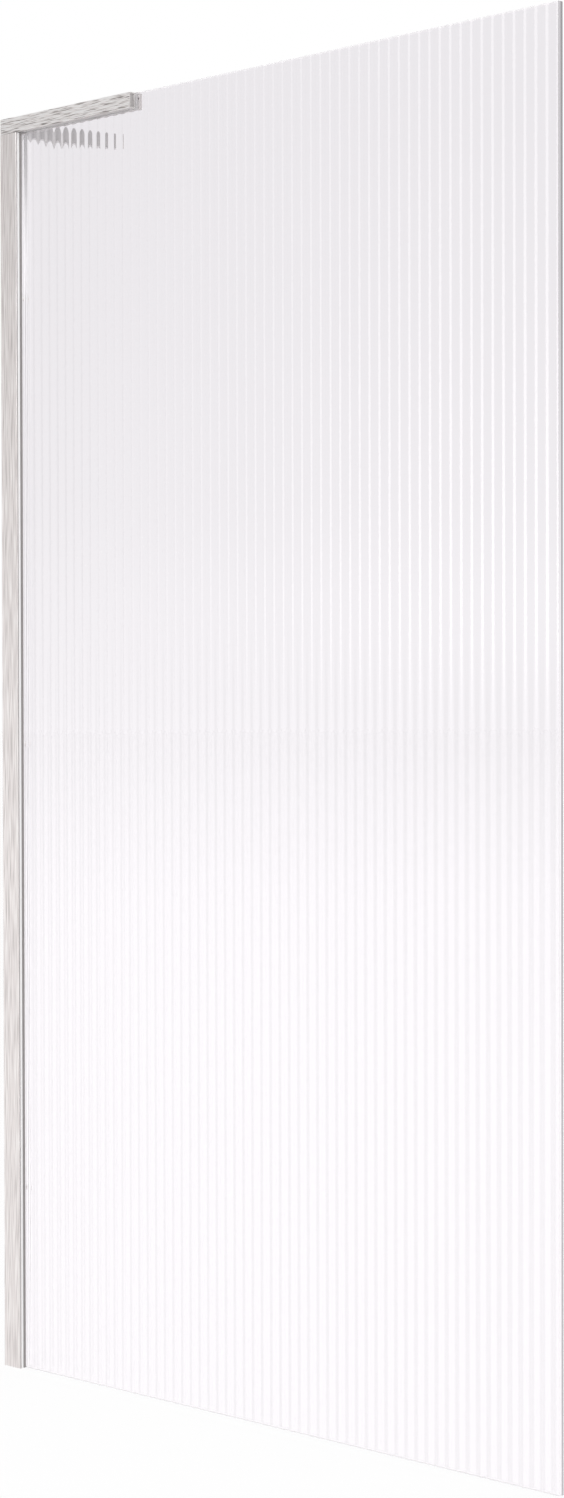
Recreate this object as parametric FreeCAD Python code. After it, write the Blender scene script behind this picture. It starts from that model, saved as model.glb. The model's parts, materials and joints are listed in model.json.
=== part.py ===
"""Fluted glass bath screen, 800 x 1400 mm, with a telescoping wall profile and an L-shaped top rail.

All sizes are millimetres. X runs from the wall (0) to the free edge of the glass, Y runs from the
fluted face (negative) to the flat bath side (positive) with 0 at the middle of the glass, and Z runs
up from the bottom edge, which stands on the bath rim.
"""
import FreeCAD
import Part
import math
import os

V = FreeCAD.Vector

# ---- driving dimensions -------------------------------------------------------------------
SCREEN_WIDTH = 800.0
SCREEN_HEIGHT = 1400.0
GLASS_THICKNESS = 8.0
FLUTE_COUNT = 59
FLUTE_DEPTH = 0.9

PROFILE_WIDTH = 27.0
PROFILE_DEPTH = 24.0
FRONT_WALL = 1.6
REAR_WALL = 2.2
WEB_WALL = 2.0
REAR_LIP = 19.0
SLIDE_GAP = 0.1
ADJUSTMENT = 8.0

RAIL_LENGTH = 215.0
RAIL_HEIGHT = 17.0
TUBE_DEPTH = 7.6
TUBE_WALL = 1.4
ARM_REACH = 112.0
PLATE_THICKNESS = 4.2

# ---- sizes that follow --------------------------------------------------------------------
GLASS_FRONT = -GLASS_THICKNESS / 2
GLASS_BACK = GLASS_THICKNESS / 2
GLASS_EDGE_X = 8.0
FLUTE_PITCH = (SCREEN_WIDTH - GLASS_EDGE_X) / FLUTE_COUNT
GLASS_ARRIS = 0.8

JOINT_GAP = 0.3
PROFILE_HEIGHT = SCREEN_HEIGHT - RAIL_HEIGHT - JOINT_GAP
PROFILE_FRONT = -PROFILE_DEPTH / 2
PROFILE_BACK = PROFILE_DEPTH / 2

GLAZING_WEB_X = 4.0
GLAZING_WALL = 1.6
GLAZING_FRONT = PROFILE_FRONT + FRONT_WALL + SLIDE_GAP
GLAZING_BACK = PROFILE_BACK - REAR_WALL - SLIDE_GAP
BEAD_WIDTH = 3.0
FRONT_BEAD_DEPTH = 3.0
REAR_BEAD_DEPTH = 2.6
FRONT_GASKET_X = 12.0
REAR_GASKET_X = 10.0
GASKET_TOE = 0.9

RAIL_BOTTOM = SCREEN_HEIGHT - RAIL_HEIGHT
RAIL_MIDDLE = SCREEN_HEIGHT - RAIL_HEIGHT / 2
TUBE_FRONT = PROFILE_FRONT
TUBE_BACK = TUBE_FRONT + TUBE_DEPTH
CAVITY_FRONT = TUBE_FRONT + TUBE_WALL
CAVITY_BACK = TUBE_BACK - TUBE_WALL
CAVITY_BOTTOM = RAIL_BOTTOM + TUBE_WALL
CAVITY_TOP = SCREEN_HEIGHT - TUBE_WALL
REAR_PAD = 0.8
PLATE_START_X = 12.0
PLATE_FRONT = GLASS_BACK + REAR_PAD
PLATE_BACK = PLATE_FRONT + PLATE_THICKNESS

CLAMP_BOLT_X = (135.0, 190.0)
CLAMP_BOLT_R = 2.4
CLAMP_HOLE_R = 2.75
BUSH_R = 4.9
GLASS_SLOT_R = 5.0

ARM_THICKNESS = TUBE_DEPTH
ARM_START_Y = TUBE_BACK + 0.2
ARM_END_Y = ARM_REACH - 2.0
ARM_INNER_X = ARM_THICKNESS - TUBE_WALL
SPIGOT_END_X = 112.0
SPIGOT_GAP = 0.15
TONGUE_X = (2.5, 5.9)
TONGUE_Z = (RAIL_BOTTOM + 2.4, SCREEN_HEIGHT - 2.4)
TONGUE_END_Y = 35.0
TONGUE_FILLET = 1.3

BRACKET_THICKNESS = TONGUE_X[0]
BRACKET_Y = (-3.5, ARM_REACH - 6.5)
WALL_SCREW_R = 2.75
ARM_SCREW_Y = (50.0, 96.0)
PROFILE_SCREW_Z = (150.0, 500.0, 900.0, 1250.0)
CORNER_SCREW_Y = (14.0, 27.0)
CORNER_SCREW_R = 2.0
CORNER_HEAD_R = 3.8
COVER_SCREW_X = 4.3
COVER_SCREW_Y = 73.0
COVER_SCREW_R = 1.25
LOCK_SCREW_Z = (200.0, 700.0, 1200.0)
LOCK_SCREW_X = GLAZING_WEB_X + ADJUSTMENT + 1.0
LOCK_SCREW_R = 1.95
LOCK_HEAD_R = 3.4
CAP_R = 5.0
CAP_HEIGHT = 3.2
RAIL_LOCK_X = 70.0
PACKER_Z = (60.0, 670.0, 1280.0)
PACKER_LENGTH = 60.0


# ---- helpers ------------------------------------------------------------------------------
def box(x, y, z):
    """A block between two X, two Y and two Z values."""
    return Part.makeBox(x[1] - x[0], y[1] - y[0], z[1] - z[0], V(x[0], y[0], z[0]))


def rod(radius, start, end):
    """A round bar from one point to another."""
    line = end - start
    return Part.makeCylinder(radius, line.Length, start, line)


def cone(radius_start, radius_end, start, end):
    """A tapered bar from one point to another."""
    line = end - start
    return Part.makeCone(radius_start, radius_end, line.Length, start, line)


def hex_key(across_flats, depth, mouth, inward):
    """The socket that a hexagon key turns, cut from its mouth inwards."""
    radius = across_flats / 2 / math.cos(math.pi / 6)
    side = inward.cross(V(0.3, 0.5, 0.8)).normalize()
    other = inward.cross(side).normalize()
    corners = []
    for turn in range(7):
        angle = turn * math.pi / 3
        corners.append(mouth + side * (radius * math.cos(angle)) + other * (radius * math.sin(angle)))
    return Part.Face(Part.makePolygon(corners)).extrude(inward * depth)


def rounded_outline(corners):
    """A closed outline in the XY plane whose corners (x, y, radius) are rounded where radius > 0."""
    entries = []
    for index, (x, y, radius) in enumerate(corners):
        here = V(x, y, 0)
        before = V(corners[index - 1][0], corners[index - 1][1], 0)
        after_corner = corners[(index + 1) % len(corners)]
        after = V(after_corner[0], after_corner[1], 0)
        if radius == 0:
            entries.append((here, None, here))
            continue
        back = (before - here).normalize()
        ahead = (after - here).normalize()
        half = back.getAngle(ahead) / 2
        reach = radius / math.tan(half)
        centre = here + (back + ahead).normalize() * (radius / math.sin(half))
        middle = centre + (here - centre).normalize() * radius
        entries.append((here + back * reach, middle, here + ahead * reach))
    edges = []
    for index, (start, middle, end) in enumerate(entries):
        if middle is not None:
            edges.append(Part.Arc(start, middle, end).toShape())
        following = entries[(index + 1) % len(entries)][0]
        if (following - end).Length > 1e-6:
            edges.append(Part.LineSegment(end, following).toShape())
    return Part.Wire(edges)


def extrusion(corners, z_start, z_end):
    """A length of extruded section, standing along Z."""
    face = Part.Face(rounded_outline(corners))
    face.translate(V(0, 0, z_start))
    return face.extrude(V(0, 0, z_end - z_start))


def export(name, shape):
    """Write one sub-part, whose solids may be several alike pieces."""
    if not shape.isValid():
        raise ValueError(name + " is not a valid shape")
    shape.exportStep("parts/" + name + ".step")


# ---- glass --------------------------------------------------------------------------------
def fluted_outline():
    """Plan outline of the glass: arcs that swell and dip along the front, flat behind."""
    mean = GLASS_FRONT + FLUTE_DEPTH / 2
    edges = []
    for half_flute in range(2 * FLUTE_COUNT):
        start = GLASS_EDGE_X + half_flute * FLUTE_PITCH / 2
        end = start + FLUTE_PITCH / 2
        swell = FLUTE_DEPTH / 2 if half_flute % 2 == 0 else -FLUTE_DEPTH / 2
        arc = Part.Arc(V(start, mean, 0), V((start + end) / 2, mean + swell, 0), V(end, mean, 0))
        edges.append(arc.toShape())
    back = [
        V(SCREEN_WIDTH, mean, 0),
        V(SCREEN_WIDTH, GLASS_BACK - GLASS_ARRIS, 0),
        V(SCREEN_WIDTH - GLASS_ARRIS, GLASS_BACK, 0),
        V(GLASS_EDGE_X + GLASS_ARRIS, GLASS_BACK, 0),
        V(GLASS_EDGE_X, GLASS_BACK - GLASS_ARRIS, 0),
        V(GLASS_EDGE_X, mean, 0),
    ]
    for start, end in zip(back, back[1:]):
        edges.append(Part.LineSegment(start, end).toShape())
    return Part.Wire(edges)


def glass_panel():
    """Toughened sheet with vertical flutes and two slots in its top edge for the clamp."""
    sheet = Part.Face(fluted_outline()).extrude(V(0, 0, SCREEN_HEIGHT))
    through = (GLASS_FRONT - 1, GLASS_BACK + 1)
    for x in CLAMP_BOLT_X:
        slot = box((x - GLASS_SLOT_R, x + GLASS_SLOT_R), through, (RAIL_MIDDLE, SCREEN_HEIGHT + 1))
        slot = slot.fuse(
            rod(GLASS_SLOT_R, V(x, through[0], RAIL_MIDDLE), V(x, through[1], RAIL_MIDDLE))
        )
        sheet = sheet.cut(slot)
    return sheet


# ---- wall side ----------------------------------------------------------------------------
def wall_profile():
    """Outer channel that is screwed to the wall, with a drill-line groove down its web."""
    inner_front = PROFILE_FRONT + FRONT_WALL
    inner_back = PROFILE_BACK - REAR_WALL
    section = [
        (0, PROFILE_FRONT, 0),
        (PROFILE_WIDTH, PROFILE_FRONT, 0.8),
        (PROFILE_WIDTH, inner_front, 0.3),
        (WEB_WALL, inner_front, 0),
        (WEB_WALL, -0.6, 0),
        (WEB_WALL - 0.5, 0, 0),
        (WEB_WALL, 0.6, 0),
        (WEB_WALL, inner_back, 0),
        (REAR_LIP, inner_back, 0),
        (REAR_LIP, PROFILE_BACK, 0.8),
        (0, PROFILE_BACK, 0),
    ]
    channel = extrusion(section, 0, PROFILE_HEIGHT)
    for z in PROFILE_SCREW_Z:
        channel = channel.cut(rod(WALL_SCREW_R, V(-1, 0, z), V(WEB_WALL + 1, 0, z)))
    for z in LOCK_SCREW_Z:
        start = V(LOCK_SCREW_X, inner_back - 1, z)
        channel = channel.cut(rod(LOCK_SCREW_R + 0.05, start, V(LOCK_SCREW_X, PROFILE_BACK + 1, z)))
    return channel


def locking_screw(z):
    """Button-head screw in the profile's rear wall, whose tip bears on the sliding channel."""
    tip = V(LOCK_SCREW_X, GLAZING_BACK + 0.05, z)
    seat = V(LOCK_SCREW_X, PROFILE_BACK, z)
    top = V(LOCK_SCREW_X, PROFILE_BACK + 2.0, z)
    body = rod(LOCK_SCREW_R, tip, seat).fuse(cone(LOCK_HEAD_R, 2.1, seat, top))
    return body.removeSplitter().cut(hex_key(2.5, 1.3, top, V(0, -1, 0)))


def locking_screw_cap(z):
    """Moulded cover, tapered and bevelled, that snaps over a locking screw's head."""
    seat = V(LOCK_SCREW_X, PROFILE_BACK, z)
    shoulder = V(LOCK_SCREW_X, PROFILE_BACK + CAP_HEIGHT - 0.7, z)
    top = V(LOCK_SCREW_X, PROFILE_BACK + CAP_HEIGHT, z)
    cap = cone(CAP_R, CAP_R - 0.5, seat, shoulder).fuse(cone(CAP_R - 0.5, CAP_R - 1.7, shoulder, top))
    return cap.cut(rod(LOCK_HEAD_R + 0.1, seat, seat + V(0, 2.1, 0)))


# ---- sliding channel ----------------------------------------------------------------------
def glazing_profile():
    """Inner channel that holds the glass and telescopes in the wall profile."""
    front_inner = GLAZING_FRONT + GLAZING_WALL
    back_inner = GLAZING_BACK - GLAZING_WALL
    front_bead = GLAZING_FRONT + FRONT_BEAD_DEPTH
    back_bead = GLAZING_BACK - REAR_BEAD_DEPTH
    web_inner = GLAZING_WEB_X + GLAZING_WALL
    section = [
        (GLAZING_WEB_X, GLAZING_FRONT, 0),
        (PROFILE_WIDTH, GLAZING_FRONT, 0.3),
        (PROFILE_WIDTH, front_bead, 0.5),
        (PROFILE_WIDTH - BEAD_WIDTH, front_bead, 0),
        (PROFILE_WIDTH - BEAD_WIDTH, front_inner, 0),
        (web_inner, front_inner, 0),
        (web_inner, back_inner, 0),
        (REAR_LIP - BEAD_WIDTH, back_inner, 0),
        (REAR_LIP - BEAD_WIDTH, back_bead, 0),
        (REAR_LIP, back_bead, 0.5),
        (REAR_LIP, GLAZING_BACK, 0.3),
        (GLAZING_WEB_X, GLAZING_BACK, 0),
    ]
    return extrusion(section, 0, PROFILE_HEIGHT)


def front_gasket():
    """Wedge strip pushed in behind the front bead, bearing on the crests of the flutes."""
    bead = PROFILE_WIDTH - BEAD_WIDTH
    pocket = GLAZING_FRONT + GLAZING_WALL
    lip = GLAZING_FRONT + FRONT_BEAD_DEPTH
    section = [
        (FRONT_GASKET_X, pocket + GASKET_TOE, 0),
        (FRONT_GASKET_X + 2.5, pocket, 0),
        (bead, pocket, 0),
        (bead, lip, 0),
        (PROFILE_WIDTH - 0.3, lip, 0.6),
        (PROFILE_WIDTH - 0.1, GLASS_FRONT, 0.4),
        (FRONT_GASKET_X, GLASS_FRONT, 0),
    ]
    return extrusion(section, 0, PROFILE_HEIGHT - 0.4)


def rear_gasket():
    """Slimmer strip behind the glass, hooked under the rear bead."""
    bead = REAR_LIP - BEAD_WIDTH
    pocket = GLAZING_BACK - GLAZING_WALL
    lip = GLAZING_BACK - REAR_BEAD_DEPTH
    section = [
        (REAR_GASKET_X, GLASS_BACK, 0),
        (REAR_LIP - 0.1, GLASS_BACK, 0.4),
        (REAR_LIP - 0.3, lip, 0.6),
        (bead, lip, 0),
        (bead, pocket, 0),
        (REAR_GASKET_X + 2.0, pocket, 0),
        (REAR_GASKET_X, pocket - GASKET_TOE, 0),
    ]
    return extrusion(section, 0, PROFILE_HEIGHT - 0.4)


def glass_edge_packer(z):
    """Short U-shaped packer that keeps the hidden glass edge off the metal."""
    web_inner = GLAZING_WEB_X + GLAZING_WALL
    leg_end = 9.8
    leg_out = 6.4
    section = [
        (web_inner, -leg_out, 0),
        (leg_end, -leg_out, 0),
        (leg_end, GLASS_FRONT, 0),
        (GLASS_EDGE_X, GLASS_FRONT, 0),
        (GLASS_EDGE_X, GLASS_BACK, 0),
        (leg_end, GLASS_BACK, 0),
        (leg_end, leg_out, 0),
        (web_inner, leg_out, 0),
    ]
    return extrusion(section, z, z + PACKER_LENGTH)


# ---- top rail -----------------------------------------------------------------------------
def rail_tube():
    """Flat rectangular tube in front of the glass, open at the wall end over the spigot."""
    outer = box((0, RAIL_LENGTH), (TUBE_FRONT, TUBE_BACK), (RAIL_BOTTOM, SCREEN_HEIGHT))
    long_edges = [e for e in outer.Edges if abs(e.tangentAt(e.FirstParameter).x) > 0.9]
    outer = outer.makeFillet(0.4, long_edges)
    bore = box((-1, RAIL_LENGTH + 1), (CAVITY_FRONT, CAVITY_BACK), (CAVITY_BOTTOM, CAVITY_TOP))
    tube = outer.cut(bore)
    mouth_x = (-1, TONGUE_X[1] + TONGUE_FILLET + 0.5)
    mouth_y = (CAVITY_BACK - 0.5, TUBE_BACK + 1)
    tube = tube.cut(box(mouth_x, mouth_y, (TONGUE_Z[0] - 0.4, TONGUE_Z[1] + 0.4)))
    for x in CLAMP_BOLT_X:
        tube = tube.cut(rod(CLAMP_HOLE_R, V(x, CAVITY_BACK - 1, RAIL_MIDDLE), V(x, 0, RAIL_MIDDLE)))
    middle = (CAVITY_FRONT + CAVITY_BACK) / 2
    foot = V(RAIL_LOCK_X, middle, RAIL_BOTTOM - 1)
    return tube.cut(rod(2.0, foot, V(RAIL_LOCK_X, middle, CAVITY_BOTTOM + 0.5)))


def rail_end_plug():
    """Insert that closes the free end of the tube, a little recessed, with a hollow tail."""
    gap = 0.1
    y = (CAVITY_FRONT + gap, CAVITY_BACK - gap)
    z = (CAVITY_BOTTOM + gap, CAVITY_TOP - gap)
    wall = 1.2
    plug = box((RAIL_LENGTH - 9.0, RAIL_LENGTH - 0.5), y, z)
    tail_y = (y[0] + wall, y[1] - wall)
    tail_z = (z[0] + wall, z[1] - wall)
    return plug.cut(box((RAIL_LENGTH - 10.0, RAIL_LENGTH - 3.0), tail_y, tail_z))


def rail_clamp_plate():
    """Solid bar behind the glass, countersunk for the clamp bolts."""
    plate = box((PLATE_START_X, RAIL_LENGTH), (PLATE_FRONT, PLATE_BACK), (RAIL_BOTTOM, SCREEN_HEIGHT))
    rear_edges = [e for e in plate.Edges if all(abs(v.Point.y - PLATE_BACK) < 1e-6 for v in e.Vertexes)]
    plate = plate.makeChamfer(0.5, rear_edges)
    for x in CLAMP_BOLT_X:
        mouth = V(x, PLATE_BACK, RAIL_MIDDLE)
        plate = plate.cut(rod(CLAMP_HOLE_R, V(x, 0, RAIL_MIDDLE), mouth + V(0, 1, 0)))
        plate = plate.cut(cone(2.45, 5.1, V(x, PLATE_BACK - 2.65, RAIL_MIDDLE), mouth))
    return plate


def rail_pad(y_front, y_back):
    """Thin strip between a rail bar and the glass, holed for the bolts."""
    strip_x = (PLATE_START_X, RAIL_LENGTH - 0.6)
    pad = box(strip_x, (y_front, y_back), (RAIL_BOTTOM + 0.5, SCREEN_HEIGHT - 0.5))
    for x in CLAMP_BOLT_X:
        pad = pad.cut(rod(CLAMP_HOLE_R, V(x, y_front - 1, RAIL_MIDDLE), V(x, y_back + 1, RAIL_MIDDLE)))
    return pad


def rail_rear_pad():
    """Rear strip, moulded with two bushes that keep the bolts off the edges of the glass slots."""
    pad = rail_pad(GLASS_BACK, PLATE_FRONT)
    for x in CLAMP_BOLT_X:
        front = V(x, GLASS_FRONT, RAIL_MIDDLE)
        back = V(x, GLASS_BACK, RAIL_MIDDLE)
        pad = pad.fuse(rod(BUSH_R, front, back).cut(rod(CLAMP_HOLE_R, front, back)))
    return pad.removeSplitter()


def clamp_bolt(x):
    """Countersunk socket screw from the rear plate to the nut bar."""
    tip = V(x, CAVITY_FRONT + 0.9, RAIL_MIDDLE)
    neck = V(x, PLATE_BACK - 2.6, RAIL_MIDDLE)
    head = V(x, PLATE_BACK - 0.1, RAIL_MIDDLE)
    bolt = rod(CLAMP_BOLT_R, tip, neck).fuse(cone(CLAMP_BOLT_R, 4.9, neck, head))
    return bolt.removeSplitter().cut(hex_key(3.0, 1.8, head, V(0, -1, 0)))


def clamp_nut_bar():
    """Tapped bar inside the tube that the clamp bolts pull against."""
    gap = 0.2
    bar = box(
        (118.0, RAIL_LENGTH - 10.0),
        (CAVITY_FRONT + gap, CAVITY_BACK),
        (CAVITY_BOTTOM + gap, CAVITY_TOP - gap),
    )
    for x in CLAMP_BOLT_X:
        bar = bar.cut(rod(CLAMP_BOLT_R + 0.05, V(x, TUBE_FRONT, RAIL_MIDDLE), V(x, 0, RAIL_MIDDLE)))
    return bar


def rail_lock_screw():
    """Grub screw in the tube's underside that locks it on the spigot."""
    middle = (CAVITY_FRONT + CAVITY_BACK) / 2
    foot = V(RAIL_LOCK_X, middle, RAIL_BOTTOM + 0.1)
    grub = rod(1.95, foot, V(RAIL_LOCK_X, middle, CAVITY_BOTTOM + SPIGOT_GAP - 0.05))
    return grub.cut(hex_key(2.0, 0.9, foot, V(0, 0, 1)))


# ---- wall arm -----------------------------------------------------------------------------
def corner_block():
    """Cast elbow that carries the rail: a spigot in the tube and a tongue past the glass edge."""
    front = CAVITY_FRONT + SPIGOT_GAP
    back = CAVITY_BACK - SPIGOT_GAP
    spigot = box(
        (TONGUE_X[0], SPIGOT_END_X),
        (front, back),
        (CAVITY_BOTTOM + SPIGOT_GAP, CAVITY_TOP - SPIGOT_GAP),
    )
    end_edges = [e for e in spigot.Edges if all(abs(v.Point.x - SPIGOT_END_X) < 1e-6 for v in e.Vertexes)]
    spigot = spigot.makeChamfer(1.0, end_edges)
    reach = TONGUE_FILLET
    middle = reach * (1 - math.sqrt(0.5))
    corner = V(TONGUE_X[1], back, 0)
    outline = [
        Part.LineSegment(V(TONGUE_X[0], front, 0), V(TONGUE_X[0], TONGUE_END_Y, 0)),
        Part.LineSegment(V(TONGUE_X[0], TONGUE_END_Y, 0), V(TONGUE_X[1], TONGUE_END_Y, 0)),
        Part.LineSegment(V(TONGUE_X[1], TONGUE_END_Y, 0), corner + V(0, reach, 0)),
        Part.Arc(corner + V(0, reach, 0), corner + V(middle, middle, 0), corner + V(reach, 0, 0)),
        Part.LineSegment(corner + V(reach, 0, 0), V(TONGUE_X[1] + reach, front, 0)),
        Part.LineSegment(V(TONGUE_X[1] + reach, front, 0), V(TONGUE_X[0], front, 0)),
    ]
    elbow = Part.Face(Part.Wire([line.toShape() for line in outline]))
    elbow.translate(V(0, 0, TONGUE_Z[0]))
    block = spigot.fuse(elbow.extrude(V(0, 0, TONGUE_Z[1] - TONGUE_Z[0]))).removeSplitter()
    for y in CORNER_SCREW_Y:
        mouth = V(TONGUE_X[1], y, RAIL_MIDDLE)
        block = block.cut(rod(CORNER_SCREW_R + 0.05, V(0, y, RAIL_MIDDLE), mouth))
        block = block.cut(cone(CORNER_SCREW_R, CORNER_HEAD_R + 0.1, mouth - V(2.2, 0, 0), mouth))
    return block


def wall_arm_bracket():
    """Flat steel bracket on the wall, with a lug for the cover and two wall-screw holes."""
    z = (TONGUE_Z[0] + 0.2, TONGUE_Z[1] - 0.2)
    plate = box((0, BRACKET_THICKNESS), BRACKET_Y, z)
    lug_x = (BRACKET_THICKNESS - 1, ARM_INNER_X - 0.1)
    lug_y = (COVER_SCREW_Y - 5, COVER_SCREW_Y + 5)
    bracket = plate.fuse(box(lug_x, lug_y, (z[0], z[0] + 3.0))).removeSplitter()
    for y in ARM_SCREW_Y:
        bracket = bracket.cut(rod(WALL_SCREW_R, V(-1, y, RAIL_MIDDLE), V(9, y, RAIL_MIDDLE)))
    for y in CORNER_SCREW_Y:
        bracket = bracket.cut(rod(CORNER_SCREW_R + 0.05, V(-1, y, RAIL_MIDDLE), V(9, y, RAIL_MIDDLE)))
    foot = V(COVER_SCREW_X, COVER_SCREW_Y, z[0] - 1)
    return bracket.cut(rod(COVER_SCREW_R + 0.05, foot, foot + V(0, 0, 6.0)))


def corner_screw(y):
    """Countersunk screw that holds the tongue on the bracket."""
    start = V(0.4, y, RAIL_MIDDLE)
    neck = V(TONGUE_X[1] - 2.2, y, RAIL_MIDDLE)
    top = V(TONGUE_X[1] - 0.1, y, RAIL_MIDDLE)
    screw = rod(CORNER_SCREW_R, start, neck).fuse(cone(CORNER_SCREW_R, CORNER_HEAD_R, neck, top))
    return screw.removeSplitter().cut(hex_key(2.5, 1.6, top, V(-1, 0, 0)))


def wall_arm_cover():
    """U-shaped cover over the bracket, open towards the wall, of the same section as the rail tube."""
    y = (ARM_START_Y, ARM_END_Y)
    outer = box((0, ARM_THICKNESS), y, (RAIL_BOTTOM, SCREEN_HEIGHT))
    outer_edges = []
    for edge in outer.Edges:
        along = abs(edge.tangentAt(edge.FirstParameter).y) > 0.9
        if along and all(vertex.Point.x > 1 for vertex in edge.Vertexes):
            outer_edges.append(edge)
    outer = outer.makeFillet(0.4, outer_edges)
    hollow = box((-1, ARM_INNER_X), (y[0] - 1, y[1] + 1), (CAVITY_BOTTOM, CAVITY_TOP))
    cover = outer.cut(hollow)
    foot = V(COVER_SCREW_X, COVER_SCREW_Y, RAIL_BOTTOM)
    return cover.cut(rod(COVER_SCREW_R + 0.1, foot - V(0, 0, 1), foot + V(0, 0, 4)))


def wall_arm_end_cap():
    """Moulded cap on the end of the arm, with a hollow plug that fits in the cover."""
    cap = box((0, ARM_THICKNESS), (ARM_END_Y, ARM_REACH), (RAIL_BOTTOM, SCREEN_HEIGHT))
    face_edges = [e for e in cap.Edges if all(abs(v.Point.y - ARM_REACH) < 1e-6 for v in e.Vertexes)]
    cap = cap.makeChamfer(0.6, face_edges)
    gap = 0.1
    wall = 1.4
    inner_x = (0.5, ARM_INNER_X - gap)
    inner_z = (CAVITY_BOTTOM + gap, CAVITY_TOP - gap)
    plug = box(inner_x, (BRACKET_Y[1] + 0.4, ARM_REACH - 1.0), inner_z)
    plug = plug.cut(box((-1, inner_x[1] - wall), (0, ARM_END_Y), (inner_z[0] + wall, inner_z[1] - wall)))
    return cap.fuse(plug).removeSplitter()


def cover_screw():
    """Grub screw up through the cover's underside into the bracket's lug."""
    foot = V(COVER_SCREW_X, COVER_SCREW_Y, RAIL_BOTTOM + 0.2)
    screw = rod(COVER_SCREW_R, foot, V(COVER_SCREW_X, COVER_SCREW_Y, TONGUE_Z[0] + 3.0))
    return screw.cut(hex_key(1.3, 1.2, foot, V(0, 0, 1)))


# ---- write the sub-parts ------------------------------------------------------------------
def group(pieces):
    """Alike pieces that share one file."""
    return Part.Compound(list(pieces))


os.makedirs("parts", exist_ok=True)

export("glass_panel", glass_panel())
export("wall_profile", wall_profile())
export("locking_screws", group(locking_screw(z) for z in LOCK_SCREW_Z))
export("locking_screw_caps", group(locking_screw_cap(z) for z in LOCK_SCREW_Z))
export("glazing_profile", glazing_profile())
export("front_gasket", front_gasket())
export("rear_gasket", rear_gasket())
export("glass_edge_packers", group(glass_edge_packer(z) for z in PACKER_Z))
export("rail_tube", rail_tube())
export("rail_end_plug", rail_end_plug())
export("rail_clamp_plate", rail_clamp_plate())
export("rail_front_pad", rail_pad(TUBE_BACK, GLASS_FRONT))
export("rail_rear_pad", rail_rear_pad())
export("clamp_bolts", group(clamp_bolt(x) for x in CLAMP_BOLT_X))
export("clamp_nut_bar", clamp_nut_bar())
export("rail_lock_screw", rail_lock_screw())
export("corner_block", corner_block())
export("wall_arm_bracket", wall_arm_bracket())
export("corner_screws", group(corner_screw(y) for y in CORNER_SCREW_Y))
export("wall_arm_cover", wall_arm_cover())
export("wall_arm_end_cap", wall_arm_end_cap())
export("cover_screw", cover_screw())
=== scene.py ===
"""Dressed scene of a fluted glass bath screen: rolled glass, brushed nickel profile and top rail.

The row frame is metres: X from the wall to the free edge, Y from the fluted face to the bath side,
Z up from the bath rim. Sizes below are millimetres unless their name says otherwise.
"""
import json
import math

import bmesh
import bpy
from mathutils import Matrix, Vector


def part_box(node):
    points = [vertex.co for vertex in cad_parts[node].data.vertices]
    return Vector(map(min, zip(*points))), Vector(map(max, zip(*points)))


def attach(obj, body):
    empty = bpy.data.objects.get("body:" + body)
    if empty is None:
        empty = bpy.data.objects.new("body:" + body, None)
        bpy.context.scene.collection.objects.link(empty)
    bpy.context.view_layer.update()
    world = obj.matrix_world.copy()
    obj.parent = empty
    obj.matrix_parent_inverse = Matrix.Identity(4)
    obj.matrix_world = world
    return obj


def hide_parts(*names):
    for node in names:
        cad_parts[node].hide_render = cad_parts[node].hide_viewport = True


MM = 0.001

# ---- glass, as rolled ---------------------------------------------------------------------
FLUTE_COUNT = 59
FLUTE_DEPTH = 0.9
FLUTE_STEPS = 20
GLASS_HALF = 4.0
GLASS_ARRIS = 0.8
CUT_ARRIS = 0.5
CUT_ARRIS_ANGLE = math.radians(60)
SLOT_X = (135.0, 190.0)
SLOT_R = 5.0
SLOT_STEPS = 48
SLOT_CUTTER_DEPTH = 30.0
SLOT_CUTTER_RISE = 10.0
RAIL_MIDDLE = 1391.5

# ---- the photograph's camera --------------------------------------------------------------
CAMERA_PLACE = (2567.4, -2145.2, 745.4)
CAMERA_YAW = 44.878
CAMERA_PITCH = 0.8835
CAMERA_ROLL = -0.1272
FOCAL_PX = 2955.4
IMAGE_HEIGHT_PX = 1498
SENSOR_MM = 36.0

# ---- finishes: shares of each pattern in a blend, and sizes ---------------------------------
GLASS_IOR = 1.52
RIPPLE_SHARE = 0.22
DRAWN_SHARE = 0.06
# Painted shade on the free glass edge: the heights in metres over which its colour darkens, and how
# dark it ends.
PAINTED_SHADE_FROM_M = (0.8, 1.15)
PAINTED_SHADE_TO = 0.58
STREAK_SHARE = 0.78
STREAK_SPREAD = (0.35, 0.65)
STREAK_ROUGHNESS = (0.44, 0.3)
HAIRLINE_SHARE = 0.22
HAIRLINE_WIDTH = 0.35
HAIRLINE_LENGTH = 2.5
GRAIN_SPREAD = (0.3, 0.7)
ROUGHNESS_SWING = 0.12
RING_SHARE = 0.12
RING_PITCH = 0.35

# ---- world, as sines of elevation and degrees of azimuth ----------------------------------
BACK_LEVELS = ((-0.12, 1.06), (-0.067, 1.045), (0.0, 0.94), (0.069, 0.893), (0.16, 0.898))
BACK_TINT = (1.0, 0.99, 1.006)
DARK_WALL = ((108.0, 124.0), (125.0, 137.0))
DARK_WALL_LOSS = 0.09
SIDE_WALL = ((0.0, 20.0), (75.0, 95.0))
SIDE_WALL_FOOT = (0.155, 0.185)
SIDE_WALL_LOSS = 0.45
SIDE_WALL_GAIN = 0.2
FRONT_LEVELS = ((-1.0, 0.95), (-0.2, 0.94), (-0.14, 0.98), (-0.09, 1.09), (-0.03, 1.11),
                (0.03, 0.96), (0.08, 0.84), (0.13, 0.65), (0.2, 0.48), (0.45, 0.6), (0.7, 0.95),
                (1.0, 0.95))
FRONT_TINT = (1.0, 0.985, 0.98)
PANEL = ((4.0, 10.0), (16.0, 27.5))
PANEL_TOP = (0.4, 0.5)
PANEL_LEVEL = 4.8
HORIZON = (-0.02, 0.04)
BACK_HALF = (-0.2, 0.1)
FLOOR_CLEARNESS = 0.9
FLOOR_DROP = 0.3
FLOOR_HALF_M = 60.0

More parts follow.
